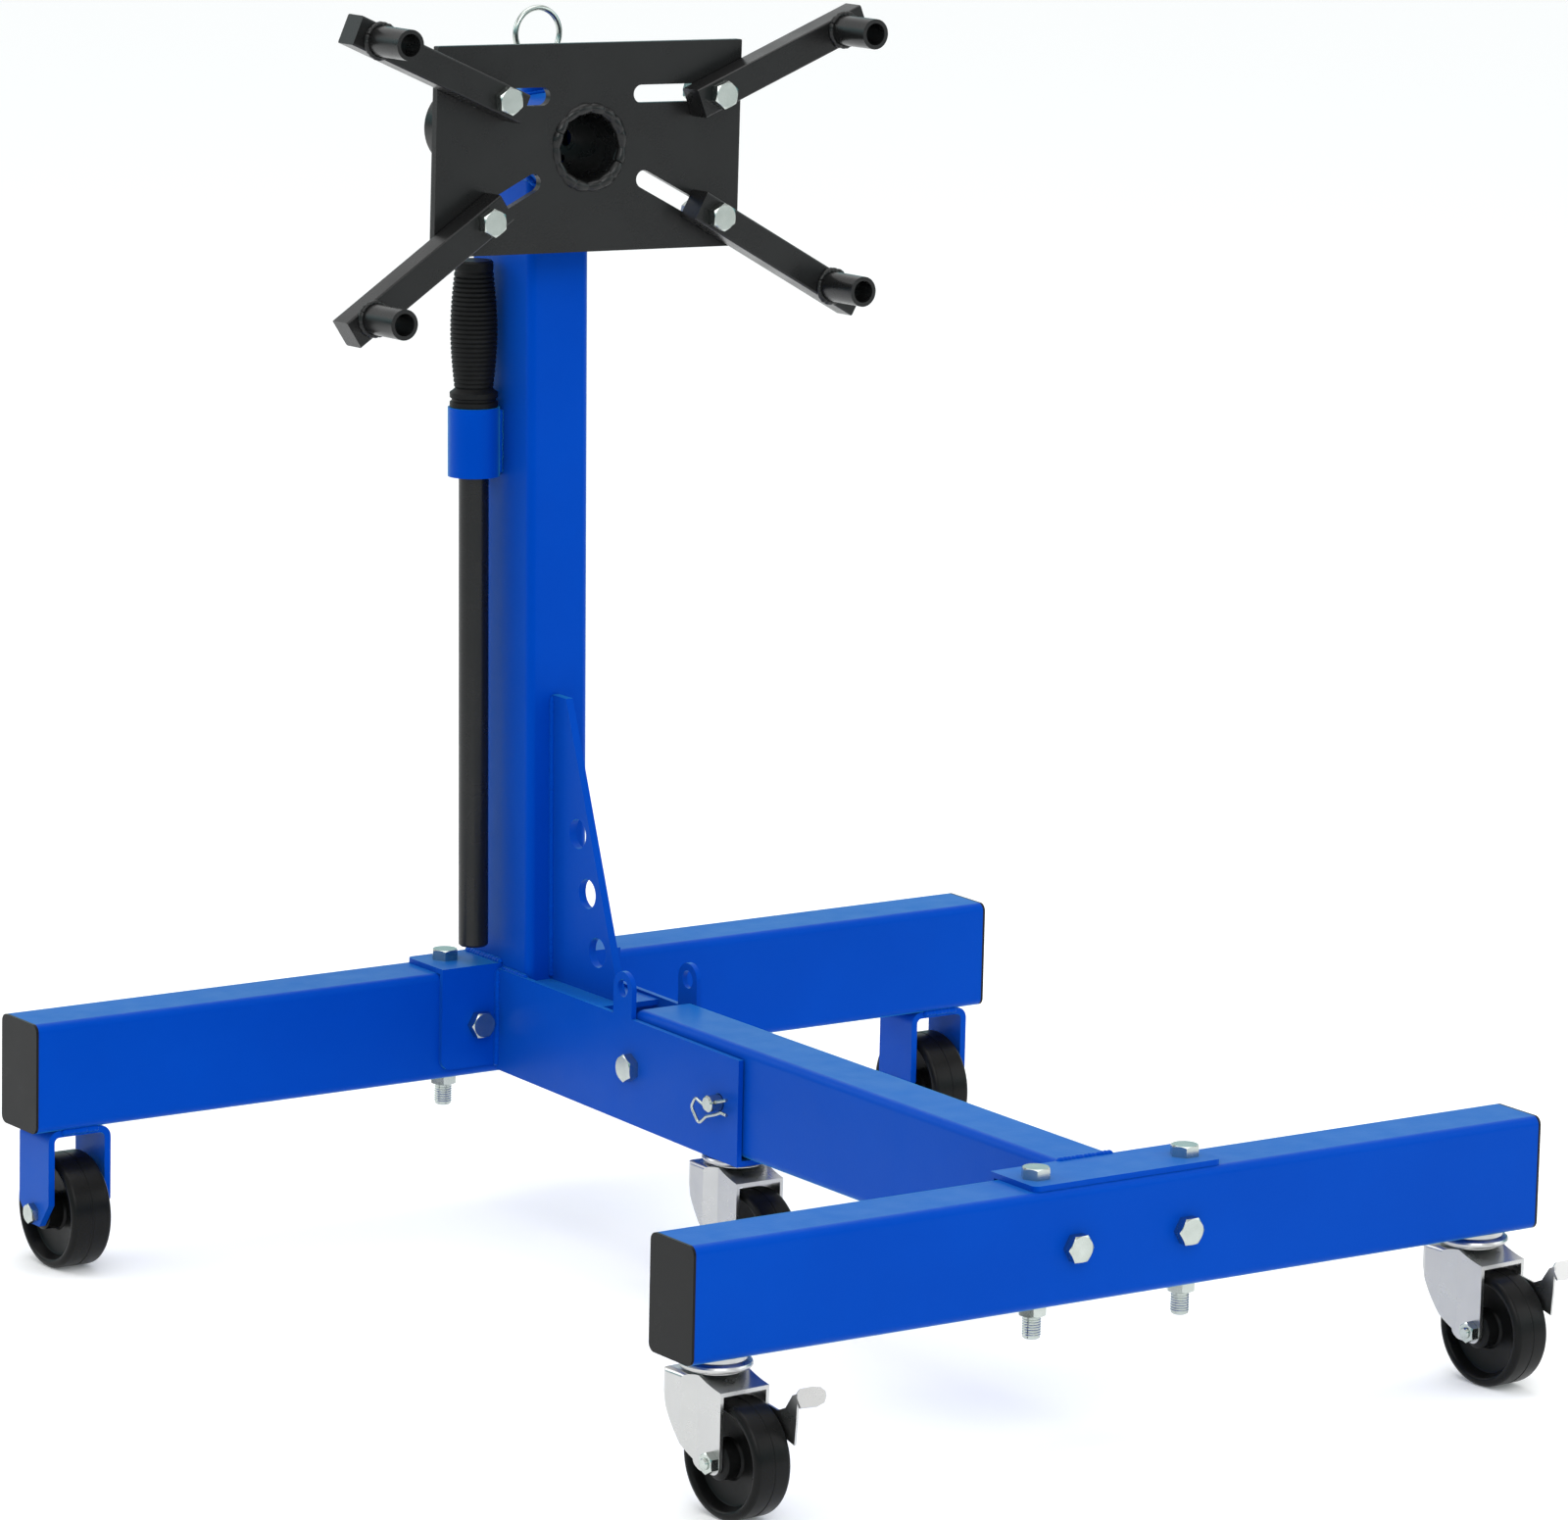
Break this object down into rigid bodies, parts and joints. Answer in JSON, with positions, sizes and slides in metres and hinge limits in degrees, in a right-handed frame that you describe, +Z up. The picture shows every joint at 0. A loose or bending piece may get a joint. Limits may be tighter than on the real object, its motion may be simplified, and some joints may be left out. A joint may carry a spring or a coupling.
{
  "type": "engine stand",
  "caption": "Folding wheeled engine stand with a leaning post, a rotating face plate with adjustable mounting arms, an indexing pin and a stored turning bar.",
  "frame": {"origin": "on the floor under the middle of the stand", "axes": "+Z up; +X to the right seen from the front, along the cross tubes; the front leg points along -Y and the face plate looks along -Y"},
  "size_m": [0.832, 0.8972, 0.9025],
  "materials": {
    "blue_paint": "satin-gloss powder coat",
    "black_paint": "semi-gloss powder coat",
    "zinc_plate": "bright zinc plate",
    "pressed_steel": "satin plated pressings",
    "black_plastic": "moulded satin",
    "grip_rubber": "moulded matt"
  },
  "bodies": {
    "base": {"rear_cross_tube": "blue_paint", "rear_end_caps": "black_plastic", "rear_bracket": "blue_paint", "rear_bracket_bolts": "zinc_plate", "rear_bracket_nuts": "zinc_plate", "hinge_channel": "blue_paint", "post_tube": "blue_paint", "post_gusset": "blue_paint", "head_housing": "blue_paint", "index_boss": "blue_paint", "handle_sleeve": "blue_paint", "pivot_bolt": "zinc_plate", "pivot_nut": "zinc_plate", "rear_forks": "blue_paint", "rear_axle_bolts": "zinc_plate", "rear_axle_nuts": "zinc_plate", "rear_wheel_bushes": "zinc_plate", "middle_caster_race": "pressed_steel"},
    "front_leg": {"leg_tube": "blue_paint", "pivot_bush": "zinc_plate", "front_bracket": "blue_paint", "front_cross_tube": "blue_paint", "front_end_caps": "black_plastic", "front_bracket_bolts": "zinc_plate", "front_bracket_nuts": "zinc_plate", "front_caster_races": "pressed_steel", "front_caster_nuts": "zinc_plate"},
    "lock_pin": {"lock_pin": "zinc_plate"},
    "r_clip": {"r_clip": "zinc_plate"},
    "rear_wheel_left": {"rear_wheel_left": "black_plastic"},
    "rear_wheel_right": {"rear_wheel_right": "black_plastic"},
    "head": {"head_tube": "black_paint", "face_plate": "black_paint"},
    "index_pin": {"index_pin": "zinc_plate"},
    "handle": {"handle_bar": "black_paint", "handle_grip": "grip_rubber"},
    "swivel_left": {"swivel_fork_left": "pressed_steel", "swivel_axle_left": "zinc_plate"},
    "swivel_wheel_left": {"swivel_wheel_left": "black_plastic"},
    "brake_left": {"brake_lever_left": "pressed_steel"},
    "swivel_right": {"swivel_fork_right": "pressed_steel", "swivel_axle_right": "zinc_plate"},
    "swivel_wheel_right": {"swivel_wheel_right": "black_plastic"},
    "brake_right": {"brake_lever_right": "pressed_steel"},
    "swivel_middle": {"swivel_fork_middle": "pressed_steel", "swivel_axle_middle": "zinc_plate"},
    "swivel_wheel_middle": {"swivel_wheel_middle": "black_plastic"},
    "clamp_top_left": {"arm_bolt_top_left": "zinc_plate"},
    "arm_top_left": {"arm_top_left": "black_paint", "arm_sleeve_top_left": "black_paint"},
    "clamp_top_right": {"arm_bolt_top_right": "zinc_plate"},
    "arm_top_right": {"arm_top_right": "black_paint", "arm_sleeve_top_right": "black_paint"},
    "clamp_bottom_left": {"arm_bolt_bottom_left": "zinc_plate"},
    "arm_bottom_left": {"arm_bottom_left": "black_paint", "arm_sleeve_bottom_left": "black_paint"},
    "clamp_bottom_right": {"arm_bolt_bottom_right": "zinc_plate"},
    "arm_bottom_right": {"arm_bottom_right": "black_paint", "arm_sleeve_bottom_right": "black_paint"}
  },
  "joints": [
    {"name": "head_turn", "type": "hinge", "parent": "base", "child": "head", "pos_m": [0, 0.35088, 0.79531], "axis": [0, 0.9997, -0.025], "continuous": true},
    {"name": "index_pin_pull", "type": "slide", "parent": "base", "child": "index_pin", "axis": [0, 0.025, 0.9997], "range_m": [-0.006, 0.05]},
    {"name": "leg_fold", "type": "hinge", "parent": "base", "child": "front_leg", "pos_m": [0, 0.15246, 0.148], "axis": [-1, 0, 0], "range_deg": [0, 90]},
    {"name": "lock_pin_pull", "type": "slide", "parent": "base", "child": "lock_pin", "axis": [-1, 0, 0], "range_m": [0, 0.08]},
    {"name": "r_clip_pull", "type": "slide", "parent": "lock_pin", "child": "r_clip", "axis": [0, 0.9501, -0.312], "range_m": [0, 0.03]},
    {"name": "handle_lift", "type": "slide", "parent": "base", "child": "handle", "axis": [0, 0.025, 0.9997], "range_m": [0, 0.055]},
    {"name": "rear_wheel_left_roll", "type": "hinge", "parent": "base", "child": "rear_wheel_left", "pos_m": [-0.378, 0.35985, 0.0415], "axis": [1, 0, 0], "continuous": true},
    {"name": "rear_wheel_right_roll", "type": "hinge", "parent": "base", "child": "rear_wheel_right", "pos_m": [0.378, 0.35985, 0.0415], "axis": [1, 0, 0], "continuous": true},
    {"name": "swivel_left_turn", "type": "hinge", "parent": "front_leg", "child": "swivel_left", "pos_m": [-0.316, -0.38015, 0.095], "axis": [0, 0, 1], "continuous": true},
    {"name": "swivel_wheel_left_roll", "type": "hinge", "parent": "swivel_left", "child": "swivel_wheel_left", "pos_m": [-0.31433, -0.40409, 0.04], "axis": [0.9976, 0.0698, 0], "continuous": true},
    {"name": "brake_left_press", "type": "hinge", "parent": "swivel_left", "child": "brake_left", "pos_m": [-0.31461, -0.4001, 0.072], "axis": [0.9976, 0.0698, 0], "range_deg": [0, 6]},
    {"name": "swivel_right_turn", "type": "hinge", "parent": "front_leg", "child": "swivel_right", "pos_m": [0.316, -0.38015, 0.095], "axis": [0, 0, 1], "continuous": true},
    {"name": "swivel_wheel_right_roll", "type": "hinge", "parent": "swivel_right", "child": "swivel_wheel_right", "pos_m": [0.31767, -0.40409, 0.04], "axis": [0.9976, 0.0698, 0], "continuous": true},
    {"name": "brake_right_press", "type": "hinge", "parent": "swivel_right", "child": "brake_right", "pos_m": [0.31739, -0.4001, 0.072], "axis": [0.9976, 0.0698, 0], "range_deg": [0, 6]},
    {"name": "swivel_middle_turn", "type": "hinge", "parent": "base", "child": "swivel_middle", "pos_m": [0, 0.06085, 0.095], "axis": [0, 0, 1], "continuous": true},
    {"name": "swivel_wheel_middle_roll", "type": "hinge", "parent": "swivel_middle", "child": "swivel_wheel_middle", "pos_m": [0, 0.03685, 0.04], "axis": [1, 0, 0], "continuous": true},
    {"name": "arm_top_left_slide", "type": "slide", "parent": "head", "child": "clamp_top_left", "axis": [-0.9997, 0.0006, 0.0249], "range_m": [-0.0438, 0.0112]},
    {"name": "arm_top_left_swing", "type": "hinge", "parent": "clamp_top_left", "child": "arm_top_left", "pos_m": [-0.08384, 0.2639, 0.8371], "axis": [0, -0.9997, 0.025], "range_deg": [-45, 45]},
    {"name": "arm_top_right_slide", "type": "slide", "parent": "head", "child": "clamp_top_right", "axis": [0.9997, -0.0006, -0.0249], "range_m": [-0.056, 0.0125]},
    {"name": "arm_top_right_swing", "type": "hinge", "parent": "clamp_top_right", "child": "arm_top_right", "pos_m": [0.1004, 0.26378, 0.8325], "axis": [0, -0.9997, 0.025], "range_deg": [-45, 45]},
    {"name": "arm_bottom_left_slide", "type": "slide", "parent": "head", "child": "clamp_bottom_left", "axis": [-0.9048, -0.0106, -0.4257], "range_m": [-0.0547, 0.0176]},
    {"name": "arm_bottom_left_swing", "type": "hinge", "parent": "clamp_bottom_left", "child": "arm_bottom_left", "pos_m": [-0.09749, 0.26176, 0.75124], "axis": [0, -0.9997, 0.025], "range_deg": [-45, 45]},
    {"name": "arm_bottom_right_slide", "type": "slide", "parent": "head", "child": "clamp_bottom_right", "axis": [0.8824, -0.0117, -0.4703], "range_m": [-0.0593, 0.013]},
    {"name": "arm_bottom_right_swing", "type": "hinge", "parent": "clamp_bottom_right", "child": "arm_bottom_right", "pos_m": [0.0991, 0.26158, 0.74423], "axis": [0, -0.9997, 0.025], "range_deg": [-45, 45]}
  ]
}
